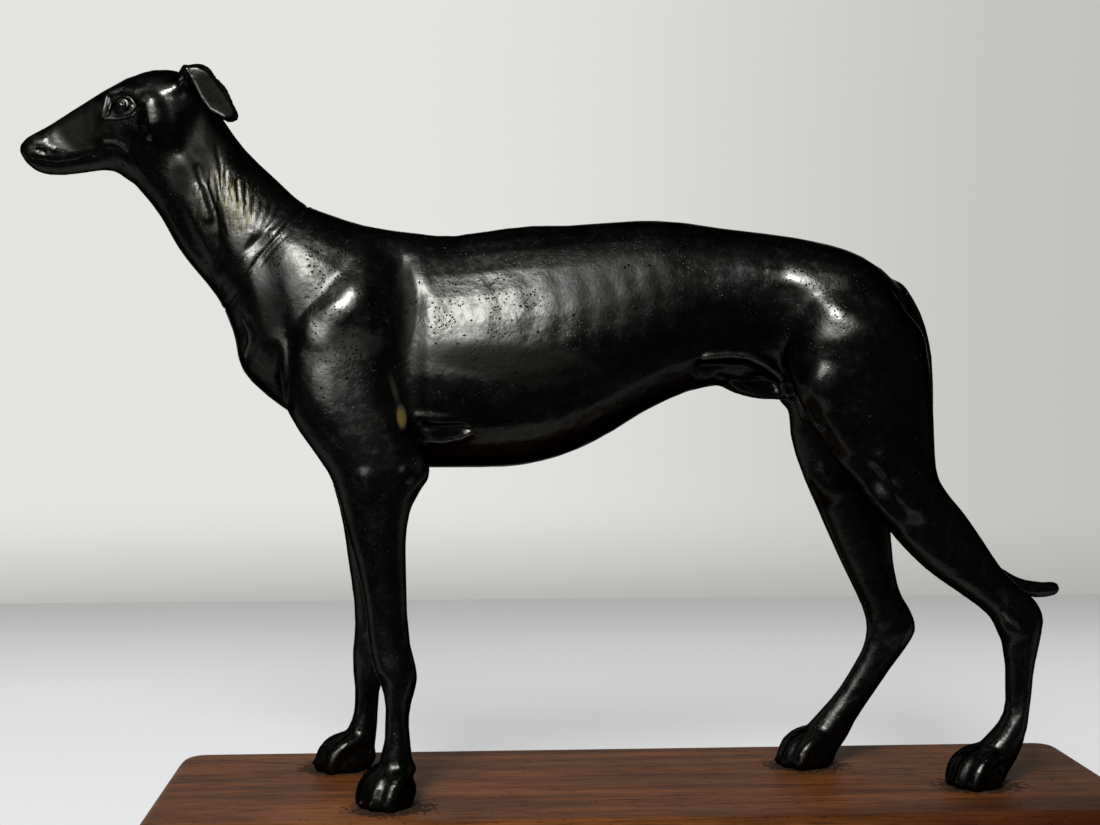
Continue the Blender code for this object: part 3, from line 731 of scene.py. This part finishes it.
# The painted shade is laid over the patina here.
base = base.tint(PAINTED_SHADE_DARK, painted_shade * 0.9)
rubbed = place.node("ShaderNodeAttribute", {"attribute_name": "rubbed"}, {}, "Fac")
base = base.tint(RUBBED_EDGE, (rubbed * 1.4).between(0.1, 1.0) * 0.8)
# Polish and painted highlight lighten the skin here.
base = base.tint(POLISH_AND_HIGHLIGHT_TINT, polish_and_highlight)
base = base.tint(PIT_BLACK, (pits * 0.95 + big_pits * 0.8).between(0.0, 0.8))
base = base.tint(OCHRE_RUN, ochre * mottle.between(0.25, 0.5))
feed(base, shader, "Base Color")
gloss = 0.20 + 0.12 * clouds + 0.12 * mottle.between(0.45, 0.75)
gloss = gloss + 0.25 * pits + 0.35 * ochre + 0.26 * painted_shade
feed(gloss, shader, "Roughness")
feed(1 - 0.85 * ochre, shader, "Metallic")
scratches = place.noise(700, 2, 0.5, (0.12, 1, 1.2), math.radians(24))
swell = place.noise(95, 3, 0.6)
height = mottle * 0.14 - pits * 0.6 - big_pits * 0.7 + place.noise(900, 3) * 0.06 + swell * 0.9
height = height + scratches * 0.03 - neck_hair * hair_ground * 0.35
values = {"Strength": 1.0, "Distance": SKIN_RELIEF, "Height": height}
feed(place.node("ShaderNodeBump", {}, values), shader, "Normal")
dog.data.materials.clear()
dog.data.materials.append(bronze)
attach(dog, "root")
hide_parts("greyhound")


# The base board
# One mahogany board, planed, its corners and upper edge rounded, stained red-brown and waxed.
# The four paws stand on it, and round each of them the board is darker, in specks.

WOOD = [
    (0.34, (0.023, 0.0074, 0.0020)),
    (0.50, (0.058, 0.0200, 0.0056)),
    (0.66, (0.115, 0.0410, 0.0125)),
]
WARM_WOOD = (0.14, 0.052, 0.018)
# A near-black laid in specks round each paw.
PORE_BROWN = (0.020, 0.008, 0.004)
# The board's front grows darker towards its right end.
RIGHT_FRONT_DARK = (0.022, 0.0055, 0.0015)
PAW_RING_DARK = (0.012, 0.009, 0.007)
PAW_PRINTS = ((-110, -40), (-136, 28), (150, -19), (80, 21))
PAW_RINGS = [(1.0, (x, y, 0), (27, 21, 10), 0, 0.35) for x, y in PAW_PRINTS]
WOOD_RELIEF = 0.0003

mahogany, shader, place = start_finish("waxed_mahogany")
shader.inputs["IOR"].default_value = 1.08
drift = place.noise(9, 2, 0.5, (0.5, 1.0, 1.0))
figure = place.noise(70, 6, 0.6, (0.10, 1.0, 1.0))
grain = place.noise(420, 4, 0.6, (0.045, 1.0, 1.0))
pores = place.noise(1500, 2, 0.5, (0.03, 1.0, 1.0)).between(0.56, 0.70)
wood = place.node("ShaderNodeValToRGB", {"stops": WOOD}, {"Fac": figure * 0.6 + grain * 0.4})
wood = wood.tint(WARM_WOOD, place.patch((-128, -50, 0), (50, 30, 40)) * 0.5)
wood = wood.tint(PORE_BROWN, pores * 0.7)
# The board's front is darker towards its right end.
wood = wood.tint(RIGHT_FRONT_DARK, place.patch((230, -70, -10), (190, 60, 32)) * 0.9)
specks = place.noise(520, 4, 0.7)
# Round each paw the board is darker in specks, which also stand up a little and are rougher.
paw_ring = place.gather(PAW_RINGS)
paw_specks = (paw_ring * 0.5 + specks * 1.6 - 0.95).between(0.02, 0.25)
wood = wood.tint(PAW_RING_DARK, paw_specks * 0.9)
feed(wood, shader, "Base Color")
feed(0.36 + 0.16 * grain + 0.15 * pores + 0.3 * paw_specks, shader, "Roughness")
relief = grain * 0.25 - pores * 0.7 + paw_specks * specks * 2.2 + drift * 0.2
values = {"Strength": 1.0, "Distance": WOOD_RELIEF, "Height": relief}
feed(place.node("ShaderNodeBump", {}, values), shader, "Normal")
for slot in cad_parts["wooden_base"].material_slots:
    slot.material = mahogany


# The table
# It has a pale grey top that glows with painted light, dimming towards its far edge.
# Its near edge lies just in front of the board, and it isn't part of the object.

TABLE_START = -0.13
TABLE_END = 0.745
TABLE_SIDE = 2.5
TABLE_GREY = (0.22, 0.222, 0.226, 1.0)
TABLE_GLOW = (0.43, 0.432, 0.435)
TABLE_FAR_GLOW = (0.215, 0.215, 0.21)


def plain(wire, colour):
    """One colour as a wire, to lay others over."""
    return wire.node("ShaderNodeMix", {"data_type": "RGBA"}, {0: 0.0, 6: (*colour, 1.0)}, 2)


table_top = bpy.data.meshes.new("table")
corners = [
    (-TABLE_SIDE, TABLE_START, 0),
    (TABLE_SIDE, TABLE_START, 0),
    (TABLE_SIDE, TABLE_END, 0),
    (-TABLE_SIDE, TABLE_END, 0),
]
table_top.from_pydata(corners, [], [(0, 1, 2, 3)])
sheet = bpy.data.objects.new("table", table_top)
bpy.context.scene.collection.objects.link(sheet)
paint, shader, place = start_finish("table")
shader.inputs["Roughness"].default_value = 0.7
shader.inputs["Emission Strength"].default_value = 1.0
shader.inputs["Base Color"].default_value = TABLE_GREY
depth = place.node("ShaderNodeSeparateXYZ", {}, {"Vector": place}, "Y")
# Painted light: the top glows, less towards its far edge.
glow = plain(place, TABLE_GLOW).tint(TABLE_FAR_GLOW, depth.between(0.28, 0.78))
feed(glow, shader, "Emission Color")
table_top.materials.append(paint)


# The light
# One tall window stands on the left, in front of the dog: a bright pane, the paler sky round it,
# and the lit curtain beside it. Each is a sheet of light that the camera doesn't see.

LIT_PLACE = (-0.05, 0.0, 0.22)


def add_light(name, turn, rise, away, size, glow):
    """A sheet of light seen from the dog at a bearing and a height in degrees."""
    turn = math.radians(turn)
    rise = math.radians(rise)
    level = math.cos(rise)
    out = Vector((math.sin(turn) * level, -math.cos(turn) * level, math.sin(rise)))
    width, height = size
    lamp = bpy.data.lights.new(name, "AREA")
    lamp.shape = "RECTANGLE"
    lamp.size = width
    lamp.size_y = height
    lamp.energy = glow * math.pi * width * height
    holder = bpy.data.objects.new(name, lamp)
    bpy.context.scene.collection.objects.link(holder)
    holder.location = Vector(LIT_PLACE) + out * away
    holder.rotation_euler = out.to_track_quat("Z", "Y").to_euler()
    holder.visible_camera = False


add_light("bright_pane", -16, 40, 1.5, (0.37, 0.55), 54)
add_light("pale_sky", -18, 36, 1.55, (0.86, 0.85), 6.0)
add_light("lit_curtain", -28, 20, 1.6, (0.95, 0.70), 3.6)


# The room
# A pale plain wall stands far behind the table, dimmer to the right and low down. It also lights
# the dog from behind. The other walls look as pale, but the dog gets almost no light from them.

WALL_LEFT = (0.77, 0.775, 0.75)
WALL_RIGHT = (0.53, 0.535, 0.505)
WALL_FOOT = (0.385, 0.38, 0.355)
ROOM_DARK = (0.05, 0.05, 0.05)

world = bpy.data.worlds.new("room")
world.use_nodes = True
room = world.node_tree
gaze = Wire(room, room.nodes.new("ShaderNodeTexCoord").outputs["Generated"])
sideways = gaze.node("ShaderNodeSeparateXYZ", {}, {"Vector": gaze}, "X")
onward = gaze.node("ShaderNodeSeparateXYZ", {}, {"Vector": gaze}, "Y")
upward = gaze.node("ShaderNodeSeparateXYZ", {}, {"Vector": gaze}, "Z")
wall = plain(gaze, WALL_LEFT).tint(WALL_RIGHT, sideways.between(-0.05, 0.43))
wall = wall.tint(WALL_FOOT, 1 - upward.between(-0.18, -0.08))
seen = Wire(room, room.nodes.new("ShaderNodeLightPath").outputs["Is Camera Ray"])
pale = (seen + onward.between(0.25, 0.45)).between(0.0, 1.0)
shade = plain(gaze, ROOM_DARK).tint(wall, pale)
room.links.new(shade.socket, room.nodes["Background"].inputs["Color"])
bpy.context.scene.world = world
bpy.context.scene.view_settings.view_transform = "Standard"


# The camera
# It stands about level with the dog's back, 0.7 m away and a little towards the head.
# Its place and lens follow from the board's corners and the four paws in the photo.

LENS = 52.33
CAMERA_PLACE = (-0.08287, -0.7115, 0.216)
CAMERA_TURN = 3.415
CAMERA_DIP = 1.781

camera = bpy.data.cameras.new("camera")
camera.lens = LENS
camera.sensor_width = 36.0
eye = bpy.data.objects.new("camera", camera)
bpy.context.scene.collection.objects.link(eye)
eye.location = CAMERA_PLACE
yaw = math.radians(CAMERA_TURN)
pitch = math.radians(CAMERA_DIP)
level = math.cos(pitch)
ahead = Vector((math.sin(yaw) * level, math.cos(yaw) * level, -math.sin(pitch)))
eye.rotation_euler = ahead.to_track_quat("-Z", "Y").to_euler()
bpy.context.scene.camera = eye
